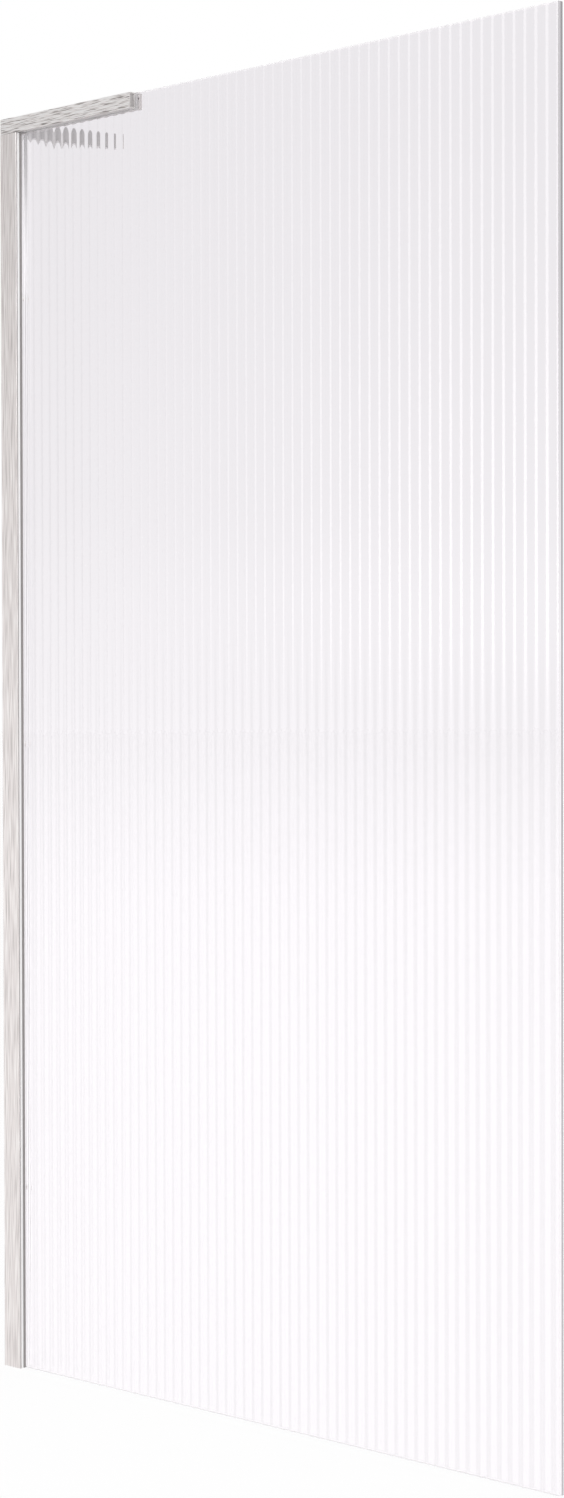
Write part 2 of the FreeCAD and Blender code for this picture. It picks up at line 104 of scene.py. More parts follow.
# ---- softboxes: place in metres and power in watts ------------------------------------------
FRONT_SOFTBOX = ((1.2, -3.0, 2.4), 25)
REAR_SOFTBOX = ((1.0, 3.0, 2.4), 15)
SOFTBOX_TARGET_M = (0.4, 0.0, 0.8)
SOFTBOX_SIDE_M = 1.6

# ---- softened edges, painted faces and turned parts -----------------------------------------
MERGE_MM = 0.001
FLAT_ANGLE = math.radians(0.6)
SOFT_ANGLE = math.radians(34)
SHARP_ANGLE = math.radians(30)
END_FACING = 0.95
SIDE_FACING = 0.6
UPRIGHT_FACING = 0.5
UNDER_FACING = 0.8
FLAT_FACING = 0.9
LIP_DEPTH_MM = 8.0
LIP_START_MM = 15.5
TURNED_STEPS = 48
ROOT_SHARE = 0.86
CREST_SHARES = (0.4, 0.6)
LOCK_X = 13.0
LOCK_Z = (200.0, 700.0, 1200.0)
CAP_SEAT_Y = 12.0
PACKER_Z = (60.0, 670.0, 1280.0)
PACKER_LENGTH = 60.0
BATHWARD = (-math.pi / 2, 0.0, 0.0)

# ---- places of the finishes in a softened solid's list, and in the glass's ------------------
MAIN, CUT_END, PALE_EDGE, SHADED, BRIGHT_EDGE = range(5)
SHEET, FREE_EDGE, RIM = range(3)

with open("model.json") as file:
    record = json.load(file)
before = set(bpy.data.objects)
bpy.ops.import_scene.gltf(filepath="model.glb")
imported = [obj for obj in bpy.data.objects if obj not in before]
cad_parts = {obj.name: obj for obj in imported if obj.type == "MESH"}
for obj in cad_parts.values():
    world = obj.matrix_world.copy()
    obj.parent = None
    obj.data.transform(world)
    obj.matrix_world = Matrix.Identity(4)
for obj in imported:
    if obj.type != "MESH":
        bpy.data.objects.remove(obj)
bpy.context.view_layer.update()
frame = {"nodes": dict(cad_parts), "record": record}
NODES = frame["nodes"]
RECORD = frame["record"]
BODY = {node: body for body, nodes in RECORD["behaviour"]["bodies"].items() for node in nodes}


# ---- helpers for objects and nodes --------------------------------------------------------
def new_object(name, data):
    """An object in the scene's collection."""
    made = bpy.data.objects.new(name, data)
    bpy.context.scene.collection.objects.link(made)
    return made


def emptied_tree(owner):
    """The node tree of a material or world, with nothing in it."""
    owner.use_nodes = True
    owner.node_tree.nodes.clear()
    return owner.node_tree


def add_node(tree, kind, inputs=None, **settings):
    """Adds a node; inputs maps a socket's name or place to a value or to another node's socket."""
    made = tree.nodes.new(kind)
    for name, value in settings.items():
        setattr(made, name, value)
    for key, value in (inputs or {}).items():
        if isinstance(value, bpy.types.NodeSocket):
            tree.links.new(value, made.inputs[key])
        else:
            made.inputs[key].default_value = value
    return made


def linear(hex_code):
    """The linear colour of an sRGB hex code, with full alpha."""
    channels = [int(hex_code[i:i + 2], 16) / 255 for i in (1, 3, 5)]
    levels = (c / 12.92 if c <= 0.04045 else ((c + 0.055) / 1.055) ** 2.4 for c in channels)
    return (*levels, 1.0)


def new_material(name):
    """A material whose tree holds only a Principled shader and the output."""
    material = bpy.data.materials.new(name)
    tree = emptied_tree(material)
    shader = add_node(tree, "ShaderNodeBsdfPrincipled")
    add_node(tree, "ShaderNodeOutputMaterial", {"Surface": shader.outputs["BSDF"]})
    return material, tree, shader


# ---- finishes -----------------------------------------------------------------------------
def noise(tree, size_mm, detail=2.0, distortion=0.0, roughness=0.5):
    """Noise on the object's own coordinates; size_mm is its grain along X, Y and Z."""
    place = add_node(tree, "ShaderNodeTexCoord")
    scale = [1 / (size * MM) for size in size_mm]
    stretched = add_node(
        tree, "ShaderNodeMapping", {"Vector": place.outputs["Object"], "Scale": scale}
    )
    made = add_node(
        tree,
        "ShaderNodeTexNoise",
        {"Vector": stretched.outputs["Vector"], "Scale": 1.0, "Detail": detail,
         "Distortion": distortion, "Roughness": roughness},
    )
    return made.outputs["Fac"]


def colour_ramp(tree, factor, stops):
    """A colour ramp from (place, linear colour) stops."""
    made = add_node(tree, "ShaderNodeValToRGB", {"Fac": factor})
    elements = made.color_ramp.elements
    while len(elements) < len(stops):
        elements.new(0.5)
    for element, (place, colour) in zip(elements, stops):
        element.position = place
        element.color = colour
    return made.outputs["Color"]


def tones(tree, factor, stops):
    """A colour ramp from (place, hex) stops."""
    return colour_ramp(tree, factor, [(place, linear(code)) for place, code in stops])


def spread(tree, value, from_min, from_max, to_min, to_max, smooth=False):
    """A value moved from one range to another, and held at its ends."""
    made = add_node(
        tree,
        "ShaderNodeMapRange",
        {"Value": value, "From Min": from_min, "From Max": from_max, "To Min": to_min,
         "To Max": to_max},
        interpolation_type="SMOOTHSTEP" if smooth else "LINEAR",
    )
    return made.outputs["Result"]


def math_of(tree, operation, first, second=0.0, clamp=False):
    """One arithmetic step."""
    return add_node(
        tree, "ShaderNodeMath", {0: first, 1: second}, operation=operation, use_clamp=clamp
    ).outputs[0]


def bumped(tree, shader, height, strength, depth_mm):
    """Fine relief under the light."""
    bump = add_node(
        tree, "ShaderNodeBump", {"Height": height, "Strength": strength, "Distance": depth_mm * MM}
    )
    tree.links.new(bump.outputs["Normal"], shader.inputs["Normal"])


def lamps_pass(tree, shader):
    """Lets light that is on its way to what stands behind the glass go straight through.

    Only what the eye sees through the glass is bent by it.
    """
    rays = add_node(tree, "ShaderNodeLightPath").outputs
    unsharp = math_of(tree, "SUBTRACT", 1.0, rays["Is Singular Ray"])
    satin = math_of(tree, "MULTIPLY", unsharp, rays["Is Glossy Ray"])
    either = math_of(tree, "ADD", rays["Is Shadow Ray"], rays["Is Diffuse Ray"])
    share = math_of(tree, "ADD", either, satin, clamp=True)
    clear = add_node(tree, "ShaderNodeBsdfTransparent", {"Color": linear("#FAFAFA")})
    mixed = add_node(
        tree, "ShaderNodeMixShader", {0: share, 1: shader.outputs["BSDF"], 2: clear.outputs["BSDF"]}
    )
    output = next(node for node in tree.nodes if node.type == "OUTPUT_MATERIAL")
    tree.links.new(mixed.outputs["Shader"], output.inputs["Surface"])


def rolled_clear_glass():
    """Toughened soda-lime glass, its flutes rolled hot: glossy, faintly rippled, clear."""
    material, tree, shader = new_material("rolled_clear_glass")
    broad = noise(tree, (110, 110, 330), 1.0)
    fine = noise(tree, (16, 16, 42), 1.0)
    drawn = noise(tree, (3.2, 3.2, 260), 2.0)
    relief = math_of(tree, "ADD", broad, math_of(tree, "MULTIPLY", fine, RIPPLE_SHARE))
    relief = math_of(tree, "ADD", relief, math_of(tree, "MULTIPLY", drawn, DRAWN_SHARE))
    bumped(tree, shader, relief, strength=0.3, depth_mm=0.4)
    shader.inputs["Base Color"].default_value = linear("#FCFAFC")
    shader.inputs["Roughness"].default_value = 0.0
    shader.inputs["IOR"].default_value = GLASS_IOR
    shader.inputs["Transmission Weight"].default_value = 1.0
    lamps_pass(tree, shader)
    return material


def ground_glass_edge():
    """The free edge, flat-ground and satin: its front half painted pale as a painted highlight, its
    rear half painted grey as painted shade, and the whole painted greyer higher up as painted
    shade.
    """
    material, tree, shader = new_material("ground_glass_edge")
    place = add_node(tree, "ShaderNodeTexCoord").outputs["Object"]
    along = add_node(tree, "ShaderNodeSeparateXYZ", {"Vector": place}).outputs
    depth = spread(tree, along["Y"], -GLASS_HALF * MM, GLASS_HALF * MM, 0.0, 1.0)
    # Painted light: the pale front half is a painted highlight, the grey rear band is painted
    # shade.
    tone = tones(tree, depth, [(0.0, "#FFFBFF"), (0.47, "#FFFBFF"), (0.56, "#ABA8AB"),
                               (0.86, "#B4B1B4"), (0.93, "#F4F2F4")])
    # Painted shade: the edge's colour darkens with height.
    greyer = spread(tree, along["Z"], *PAINTED_SHADE_FROM_M, 1.0, PAINTED_SHADE_TO)
    toned = add_node(
        tree, "ShaderNodeVectorMath", {0: tone, "Scale": greyer}, operation="SCALE"
    )
    tree.links.new(toned.outputs[0], shader.inputs["Base Color"])
    bumped(tree, shader, noise(tree, (1.1, 1.1, 1.1), 3.0), strength=0.3, depth_mm=0.05)
    shader.inputs["Roughness"].default_value = 0.25
    shader.inputs["IOR"].default_value = GLASS_IOR
    shader.inputs["Transmission Weight"].default_value = 0.5
    lamps_pass(tree, shader)
    return material


def polished_glass_edge():
    """Top and bottom edges and the clamp slots, polished nearly as bright as the sheet."""
    material, tree, shader = new_material("polished_glass_edge")
    bumped(tree, shader, noise(tree, (1.5, 1.5, 1.5), 2.0), strength=0.2, depth_mm=0.03)
    shader.inputs["Base Color"].default_value = linear("#FFFFFF")
    shader.inputs["Roughness"].default_value = 0.12
    shader.inputs["IOR"].default_value = GLASS_IOR
    shader.inputs["Transmission Weight"].default_value = 0.35
    lamps_pass(tree, shader)
    return material


def brushed_nickel(name, along, streak_mm, stops, relief):
    """Extruded aluminium, abraded lengthwise and nickel-anodised: satin, with lens-shaped streaks.

    The streaks run along the axis that is given, and streak_mm is their width and length. They are
    a little coarser than real brushing, so that they show at the photograph's scale.
    """
    material, tree, shader = new_material(name)
    width, length = streak_mm
    size = [width] * 3
    size[along] = length
    streaks = noise(tree, size, 1.0, 0.2)
    fine = [width * HAIRLINE_WIDTH] * 3
    fine[along] = length * HAIRLINE_LENGTH
    hairlines = noise(tree, fine)
    blend = math_of(tree, "ADD", math_of(tree, "MULTIPLY", streaks, STREAK_SHARE),
                    math_of(tree, "MULTIPLY", hairlines, HAIRLINE_SHARE))
    tree.links.new(tones(tree, blend, stops), shader.inputs["Base Color"])
    tree.links.new(spread(tree, blend, *STREAK_SPREAD, *STREAK_ROUGHNESS),
                   shader.inputs["Roughness"])
    bumped(tree, shader, blend, relief, depth_mm=0.08)
    shader.inputs["Metallic"].default_value = 1.0
    return material


def grained(name, light, dark, roughness, grain_mm, bump_mm, metallic=0.0):
    """A moulded, cast, sawn or extruded finish: two near tones in a grain of a stated size.

    The grain is one size, or its sizes along X, Y and Z.
    """
    material, tree, shader = new_material(name)
    grain = noise(tree, grain_mm if isinstance(grain_mm, tuple) else (grain_mm,) * 3)
    low, high = GRAIN_SPREAD
    tree.links.new(tones(tree, grain, [(low, dark), (high, light)]), shader.inputs["Base Color"])
    bumped(tree, shader, grain, strength=0.5, depth_mm=bump_mm)
    rougher, smoother = roughness * (1 + ROUGHNESS_SWING), roughness * (1 - ROUGHNESS_SWING)
    tree.links.new(
        spread(tree, grain, low, high, rougher, smoother), shader.inputs["Roughness"]
    )
    shader.inputs["Metallic"].default_value = metallic
    return material


def turned_steel():
    """Stainless steel turned on a lathe: bright, with rings round each screw's own axis."""
    material, tree, shader = new_material("turned_stainless_steel")
    own = add_node(tree, "ShaderNodeAttribute", attribute_name="own_place")
    parts = add_node(tree, "ShaderNodeSeparateXYZ", {"Vector": own.outputs["Vector"]}).outputs
    squares = [math_of(tree, "MULTIPLY", parts[axis], parts[axis]) for axis in "XY"]
    radius = math_of(tree, "SQRT", math_of(tree, "ADD", *squares))
    turns = math_of(tree, "MULTIPLY", radius, 2 * math.pi / (RING_PITCH * MM))
    rings = math_of(tree, "MULTIPLY", math_of(tree, "SINE", turns), RING_SHARE)
    blend = math_of(tree, "ADD", rings, noise(tree, (0.5, 0.5, 0.5)))
    tree.links.new(
        tones(tree, blend, [(0.25, "#B5B3B0"), (0.75, "#D2D0CD")]), shader.inputs["Base Color"]
    )
    bumped(tree, shader, blend, strength=0.4, depth_mm=0.015)
    shader.inputs["Roughness"].default_value = 0.26
    shader.inputs["Metallic"].default_value = 1.0
    return material


GLASS = rolled_clear_glass()
GLASS_EDGE = ground_glass_edge()
GLASS_RIM = polished_glass_edge()
NICKEL_UPRIGHT = brushed_nickel(
    "brushed_nickel_upright", along=2, streak_mm=(1.2, 45),
    stops=[(0.34, "#CBC6C5"), (0.5, "#E8E3E2"), (0.66, "#FAF8F7")], relief=0.4,
)
NICKEL_RAIL = brushed_nickel(
    "brushed_nickel_rail", along=0, streak_mm=(0.85, 21),
    stops=[(0.36, "#807B79"), (0.48, "#EFEBEA"), (0.57, "#FFFFFF")], relief=1.0,
)
# Painted shade: these tones are darker than the other nickel's, for the arm that is seen through
# the glass.
NICKEL_ARM = brushed_nickel(
    "brushed_nickel_arm_painted_shade", along=1, streak_mm=(1.4, 20),
    stops=[(0.3, "#BBB9B9"), (0.72, "#C9C8C8")], relief=0.3,
)
# The same nickel painted darker, as painted shade: on the rail's and clamp plate's undersides and
# the wall profile's outer lip end.
NICKEL_SHADED = grained(
    "nickel_painted_shade", "#BDB9B9", "#B1ADAD",
    roughness=0.45, grain_mm=(15, 1, 1), bump_mm=0.01, metallic=0.6,
)
# Its ends, cut across the brushing.
NICKEL_END = grained(
    "nickel_cut_end", "#E4E0DE", "#D6D2D0",
    roughness=0.4, grain_mm=(0.4, 2, 0.4), bump_mm=0.01, metallic=1.0,
)
# Clear-anodised extrusion, drawn along Z, and the ends that the saw leaves.
BRIGHT_ANODISED = grained(
    "bright_anodised_aluminium", "#F4F4F4", "#E9E9E9",
    roughness=0.3, grain_mm=(0.8, 0.8, 20), bump_mm=0.01, metallic=1.0,
)
SAWN_END = grained(
    "sawn_aluminium", "#F2F2F2", "#D6D6D6",
    roughness=0.35, grain_mm=(0.3, 3, 0.3), bump_mm=0.02, metallic=1.0,
)
# The lips' edges: bare and mirror-bright behind the glass, satin in front of it.
BRIGHT_LIP = grained(
    "bright_cut_lip", "#FFFFFF", "#FBFBFB",
    roughness=0.06, grain_mm=(0.8, 0.8, 20), bump_mm=0.002, metallic=1.0,
)
PALE_LIP = grained(
    "pale_anodised_lip", "#FFFFFF", "#F6F6F6",
    roughness=0.5, grain_mm=(0.8, 0.8, 20), bump_mm=0.01,
)
# Gaskets, pads, moulded parts and packers.
DARK_RUBBER = grained(
    "dark_extruded_rubber", "#A8A4A4", "#9D9999",
    roughness=0.55, grain_mm=(0.5, 0.5, 12), bump_mm=0.02,
)
PALE_RUBBER = grained(
    "pale_silicone_rubber", "#F4F3F2", "#ECEBEA",
    roughness=0.5, grain_mm=(0.5, 0.5, 12), bump_mm=0.02,
)
GREY_RUBBER = grained(
    "grey_sheet_rubber", "#DAD9D9", "#CFCECE", roughness=0.6, grain_mm=0.5, bump_mm=0.02
)
GREY_PLASTIC = grained(
    "grey_moulded_plastic", "#B4B1B0", "#A8A5A4", roughness=0.45, grain_mm=0.4, bump_mm=0.02
)
NICKEL_PLASTIC = grained(
    "nickel_lacquered_plastic", "#D6D2CF", "#CBC7C4",
    roughness=0.32, grain_mm=0.5, bump_mm=0.01, metallic=0.85,
)
NYLON = grained(
    "natural_nylon", "#E9E7DF", "#DEDBD2", roughness=0.4, grain_mm=0.6, bump_mm=0.01
)
# Fixings: rolled and turned stainless steel, and the elbow cast in zinc.
STAINLESS = grained(
    "stainless_steel_plate", "#CECCC9", "#B6B4B1",
    roughness=0.3, grain_mm=(0.4, 9, 0.4), bump_mm=0.01, metallic=1.0,
)
TURNED = turned_steel()
ZINC = grained(
    "die_cast_zinc", "#C2C2C2", "#A9AAAB",
    roughness=0.45, grain_mm=0.6, bump_mm=0.03, metallic=1.0,
)

# Every solid that is shown with its edges softened: its finish, the edge's width in mm, and the
# finish of its cut ends where that differs.
SOFTENED = {
    "wall_profile": (NICKEL_UPRIGHT, 0.35, SAWN_END),
    "glazing_profile": (BRIGHT_ANODISED, 0.2, SAWN_END),
    "rail_tube": (NICKEL_RAIL, 0.3, NICKEL_END),
    "rail_end_plug": (GREY_PLASTIC, 0.3, GREY_PLASTIC),
    "rail_clamp_plate": (NICKEL_RAIL, 0.2, NICKEL_END),
    "rail_front_pad": (GREY_RUBBER, 0.08, GREY_RUBBER),
    "rail_rear_pad": (GREY_RUBBER, 0.12, GREY_RUBBER),
    "clamp_nut_bar": (STAINLESS, 0.25, STAINLESS),
    "rail_lock_screw": (STAINLESS, 0.12, STAINLESS),
    "corner_block": (ZINC, 0.3, ZINC),
    "corner_screws": (STAINLESS, 0.1, STAINLESS),
    "wall_arm_bracket": (STAINLESS, 0.2, STAINLESS),
    "wall_arm_cover": (NICKEL_ARM, 0.3, NICKEL_END),
    "wall_arm_end_cap": (NICKEL_PLASTIC, 0.35, NICKEL_PLASTIC),
    "cover_screw": (STAINLESS, 0.1, STAINLESS),
}


# ---- mesh helpers -------------------------------------------------------------------------
def plain_mesh(source, name):
    """A new object with the evaluated geometry of the source, which is then removed."""
    bpy.context.view_layer.update()
    graph = bpy.context.evaluated_depsgraph_get()
    mesh = bpy.data.meshes.new_from_object(source.evaluated_get(graph), depsgraph=graph)
    mesh.name = name
    bpy.data.objects.remove(source)
    return new_object(name, mesh)


def skinned(name, rings):
    """A closed mesh through rings of points in metres, capped at both ends."""
    work = bmesh.new()
    rows = [[work.verts.new(point) for point in ring] for ring in rings]
    for lower, upper in zip(rows, rows[1:]):
        for index in range(len(lower)):
            following = (index + 1) % len(lower)
            work.faces.new((lower[index], lower[following], upper[following], upper[index]))
    work.faces.new(list(reversed(rows[0])))
    work.faces.new(rows[-1])
    bmesh.ops.recalc_face_normals(work, faces=work.faces)
    mesh = bpy.data.meshes.new(name)
    work.to_mesh(mesh)
    work.free()
    return mesh


def prism(name, outline, bottom, top):
    """An outline (x, y in mm) drawn out between two heights in metres."""
    ends = [[(x * MM, y * MM, height) for x, y in outline] for height in (bottom, top)]
    return skinned(name, ends)


def smooth_with_sharp_edges(mesh):
    """Smooth shading that stays crisp where two faces meet at more than the sharp angle."""
    mesh.shade_smooth()
    mesh.set_sharp_from_angle(angle=SHARP_ANGLE)


def softened(node, finish, edge_mm, end_finish):
    """A copy of a solid with its crisp edges rounded a little, as making the piece leaves them.

    Its materials stand in the order of MAIN, CUT_END, PALE_EDGE, SHADED and BRIGHT_EDGE.
    """
    source = NODES[node]
    mesh = source.data.copy()
    mesh.transform(source.matrix_world)
    work = bmesh.new()
    work.from_mesh(mesh)
    bmesh.ops.remove_doubles(work, verts=work.verts, dist=MERGE_MM * MM)
    bmesh.ops.dissolve_limit(work, angle_limit=FLAT_ANGLE, verts=work.verts, edges=work.edges)
    bmesh.ops.recalc_face_normals(work, faces=work.faces)
    work.to_mesh(mesh)
    work.free()
    if "custom_normal" in mesh.attributes:
        mesh.attributes.remove(mesh.attributes["custom_normal"])
    copy = new_object(node + "_maker", mesh)
    mesh.shade_smooth()
    edge = copy.modifiers.new("softened", "BEVEL")
    edge.width = edge_mm * MM
    edge.segments = 2
    edge.limit_method = "ANGLE"
    edge.angle_limit = SOFT_ANGLE
    copy.modifiers.new("even", "WEIGHTED_NORMAL").weight = 100
    shape = plain_mesh(copy, "soft_" + node)
    shape.data.materials.clear()
    for material in (finish, end_finish, PALE_LIP, NICKEL_SHADED, BRIGHT_LIP):
        shape.data.materials.append(material)
    low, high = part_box(node)
    long_axis = max(range(3), key=lambda axis: high[axis] - low[axis])
    for face in shape.data.polygons:
        is_end = abs(face.normal[long_axis]) > END_FACING
        face.material_index = CUT_END if is_end else MAIN
    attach(shape, BODY[node])
    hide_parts(node)
    return shape


def paint_lips(wall_profile, glazing_profile):
    """Both profiles' rear lips end in bright edges, their front lips in a pale one, and the wall
    profile's outer lip in the shaded nickel, as painted shade.
    """
    for shape in (wall_profile, glazing_profile):
        for face in shape.data.polygons:
            behind = face.center.y > LIP_DEPTH_MM * MM and face.center.x > LIP_START_MM * MM
            outer = face.center.y < -LIP_DEPTH_MM * MM and shape is wall_profile
            if behind and abs(face.normal.z) < UPRIGHT_FACING:
                face.material_index = BRIGHT_EDGE
            # Painted shade: the wall profile's outer lip end takes the darker shaded nickel.
            elif face.normal.x > SIDE_FACING and outer:
                face.material_index = SHADED
            elif face.normal.x > SIDE_FACING and face.center.y < 0:
                face.material_index = PALE_EDGE


def paint_undersides(shape):
    """The faces of the rail that look down get the shaded nickel, as painted shade."""
    for face in shape.data.polygons:
        if face.normal.z < -UNDER_FACING:
            face.material_index = SHADED


def turned(name, rings):
    """A part turned about Z from (radius, height) rings in mm.

    A ring with a third value of True is a hexagon, and its radius is half its width across flats.
    """
    rows = []
    for radius, height, *hexed in rings:
        row = []
        for index in range(TURNED_STEPS):
            turn = 2 * math.pi * index / TURNED_STEPS
            reach = radius
            if hexed:
                reach = radius / math.cos((turn + math.pi / 6) % (math.pi / 3) - math.pi / 6)
            row.append((reach * math.cos(turn) * MM, reach * math.sin(turn) * MM, height * MM))
        rows.append(row)
    return new_object(name, skinned(name, rows))


# ---- geometry nodes -----------------------------------------------------------------------
def new_group(name, inputs):
    """A Geometry Nodes group with its sockets: the tree, and what the inputs give."""
    tree = bpy.data.node_groups.new(name, "GeometryNodeTree")
    for label, kind in inputs:
        tree.interface.new_socket(label, in_out="INPUT", socket_type="NodeSocket" + kind)
    tree.interface.new_socket("Geometry", in_out="OUTPUT", socket_type="NodeSocketGeometry")
    return tree, add_node(tree, "NodeGroupInput").outputs


def finish_group(tree, geometry, finish):
    """The group's end: instances made real, and one finish set."""
    real = add_node(tree, "GeometryNodeRealizeInstances", {"Geometry": geometry})
    dressed = add_node(
        tree, "GeometryNodeSetMaterial", {"Geometry": real.outputs[0], "Material": finish}
    )
    add_node(tree, "NodeGroupOutput", {0: dressed.outputs[0]})


def with_inputs(owner, tree, values):
    """Gives an object a Geometry Nodes modifier, its inputs set by each socket's identifier."""
    modifier = owner.modifiers.new(tree.name, "NODES")
    modifier.node_group = tree
    for item in tree.interface.items_tree:
        if item.item_type == "SOCKET" and item.in_out == "INPUT" and item.name in values:
            modifier[item.identifier] = values[item.name]


def row_tree():
    """One piece repeated along a line, each keeping its own coordinates for its finish."""
    tree, given = new_group("row_of_pieces", (
        ("Piece", "Object"), ("Count", "Int"), ("First", "Vector"), ("Step", "Vector"),
        ("Turn", "Vector"), ("Finish", "Material"),
    ))
    piece = add_node(tree, "GeometryNodeObjectInfo", {"Object": given["Piece"]})
    own = add_node(
        tree,
        "GeometryNodeStoreNamedAttribute",
        {"Geometry": piece.outputs["Geometry"], "Name": "own_place",
         "Value": add_node(tree, "GeometryNodeInputPosition").outputs[0]},
        data_type="FLOAT_VECTOR",
    )
    line = add_node(
        tree, "GeometryNodeMeshLine",
        {"Count": given["Count"], "Start Location": given["First"], "Offset": given["Step"]},
    )
    placed = add_node(
        tree, "GeometryNodeInstanceOnPoints",
        {"Points": line.outputs[0], "Instance": own.outputs[0], "Rotation": given["Turn"]},
    )
    finish_group(tree, placed.outputs[0], given["Finish"])
    return tree


def row_of(name, piece, count, first, step, finish, node, turn=(0.0, 0.0, 0.0)):
    """The row as one plain mesh that stands for a node; first and step are millimetres."""
    holder = new_object(name + "_maker", bpy.data.meshes.new(name + "_maker"))
    with_inputs(
        holder,
        row_tree(),
        {"Piece": piece, "Count": count, "First": Vector(first) * MM, "Step": Vector(step) * MM,
         "Turn": turn, "Finish": finish},
    )
    made = plain_mesh(holder, name)
    bpy.data.objects.remove(piece)
    smooth_with_sharp_edges(made.data)
    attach(made, BODY[node])
    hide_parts(node)


# ---- fluted glass -------------------------------------------------------------------------
def fluted_sheet_tree():
    """A sheet whose front follows a sine across its width, with open slots at the top."""
    tree, sizes = new_group("fluted_sheet", (
        ("Left", "Float"), ("Right", "Float"), ("Front Mean", "Float"), ("Back", "Float"),
        ("Height", "Float"), ("Arris", "Float"), ("Flute Swing", "Float"), ("Flutes", "Int"),
        ("Steps", "Int"), ("Slot Radius", "Float"), ("Slot Bottom", "Float"),
        ("First Slot", "Float"), ("Second Slot", "Float"), ("Glass", "Material"),
    ))

    def math_node(operation, first, second=0.0):
        return math_of(tree, operation, first, second)

    def mean(first, second):
        return math_node("MULTIPLY", math_node("ADD", first, second), 0.5)

    def vector(x, y, z):
        return add_node(tree, "ShaderNodeCombineXYZ", {"X": x, "Y": y, "Z": z}).outputs[0]

    # The outline's points are counted: along the flutes first, then round the flat back.
    front_count = math_node("MULTIPLY", sizes["Flutes"], sizes["Steps"])
    point_count = math_node("ADD", front_count, 5.0)
    ring = add_node(
        tree, "GeometryNodeMeshCircle", {"Vertices": point_count, "Radius": 1.0}, fill_type="NGON"
    )
    index = add_node(tree, "GeometryNodeInputIndex").outputs[0]
    width = math_node("SUBTRACT", sizes["Right"], sizes["Left"])
    share = math_node("DIVIDE", index, front_count)
    front_x = math_node("ADD", sizes["Left"], math_node("MULTIPLY", share, width))
    turn = math_node("MULTIPLY", math_node("MULTIPLY", share, sizes["Flutes"]), 2 * math.pi)
    swing = math_node("MULTIPLY", math_node("SINE", turn), sizes["Flute Swing"])
    front_point = vector(front_x, math_node("ADD", sizes["Front Mean"], swing), 0.0)
    inner_back = math_node("SUBTRACT", sizes["Back"], sizes["Arris"])
    back_points = [
        vector(sizes["Right"], inner_back, 0.0),
        vector(math_node("SUBTRACT", sizes["Right"], sizes["Arris"]), sizes["Back"], 0.0),
        vector(math_node("ADD", sizes["Left"], sizes["Arris"]), sizes["Back"], 0.0),
        vector(sizes["Left"], inner_back, 0.0),
    ]
    choose = add_node(tree, "GeometryNodeIndexSwitch", data_type="VECTOR")
    while len(choose.index_switch_items) < len(back_points):
        choose.index_switch_items.new()
    past_front = math_node("SUBTRACT", math_node("SUBTRACT", index, front_count), 1.0)
    tree.links.new(past_front, choose.inputs["Index"])
    for place, point in enumerate(back_points):
        tree.links.new(point, choose.inputs[str(place)])
    is_back = math_node("GREATER_THAN", index, math_node("ADD", front_count, 0.5))
    outline = add_node(
        tree,
        "GeometryNodeSwitch",
        {"Switch": is_back, "False": front_point, "True": choose.outputs[0]},
        input_type="VECTOR",
    )
    section = add_node(
        tree, "GeometryNodeSetPosition",
        {"Geometry": ring.outputs["Mesh"], "Position": outline.outputs[0]},
    )
    upright = add_node(
        tree,
        "GeometryNodeExtrudeMesh",
        {"Mesh": section.outputs[0], "Offset": vector(0.0, 0.0, 1.0),
         "Offset Scale": sizes["Height"], "Individual": False},
        mode="FACES",
    )
    underside = add_node(tree, "GeometryNodeFlipFaces", {"Mesh": section.outputs[0]})
    joined = add_node(tree, "GeometryNodeJoinGeometry")
    tree.links.new(underside.outputs[0], joined.inputs[0])
    tree.links.new(upright.outputs["Mesh"], joined.inputs[0])
    closed = add_node(
        tree, "GeometryNodeMergeByDistance",
        {"Geometry": joined.outputs[0], "Distance": MERGE_MM * MM},
    )

    # Each slot is open at the top: a block that ends in a round bottom.
    cutters = []
    depth = SLOT_CUTTER_DEPTH * MM
    bottom = sizes["Slot Bottom"]
    above = math_node("ADD", sizes["Height"], SLOT_CUTTER_RISE * MM)
    for place in (sizes["First Slot"], sizes["Second Slot"]):
        left = math_node("SUBTRACT", place, sizes["Slot Radius"])
        right = math_node("ADD", place, sizes["Slot Radius"])
        across = math_node("SUBTRACT", right, left)
        size = vector(across, depth, math_node("SUBTRACT", above, bottom))
        block = add_node(tree, "GeometryNodeMeshCube", {"Size": size})
        middle = vector(mean(left, right), 0.0, mean(above, bottom))
        bore = add_node(
            tree,
            "GeometryNodeMeshCylinder",
            {"Vertices": SLOT_STEPS, "Radius": sizes["Slot Radius"], "Depth": depth},
        )
        low_end = vector(place, 0.0, bottom)
        for shape, centre, lean in ((block, middle, 0.0), (bore, low_end, math.pi / 2)):
            moved = add_node(
                tree,
                "GeometryNodeTransform",
                {"Geometry": shape.outputs["Mesh"], "Translation": centre,
                 "Rotation": (lean, 0.0, 0.0)},
            )
            cutters.append(moved.outputs[0])
    cut = add_node(
        tree, "GeometryNodeMeshBoolean", {"Mesh 1": closed.outputs[0]},
        operation="DIFFERENCE", solver="EXACT",
    )
    for one in cutters:
        tree.links.new(one, cut.inputs["Mesh 2"])
    finish_group(tree, cut.outputs["Mesh"], sizes["Glass"])
    return tree


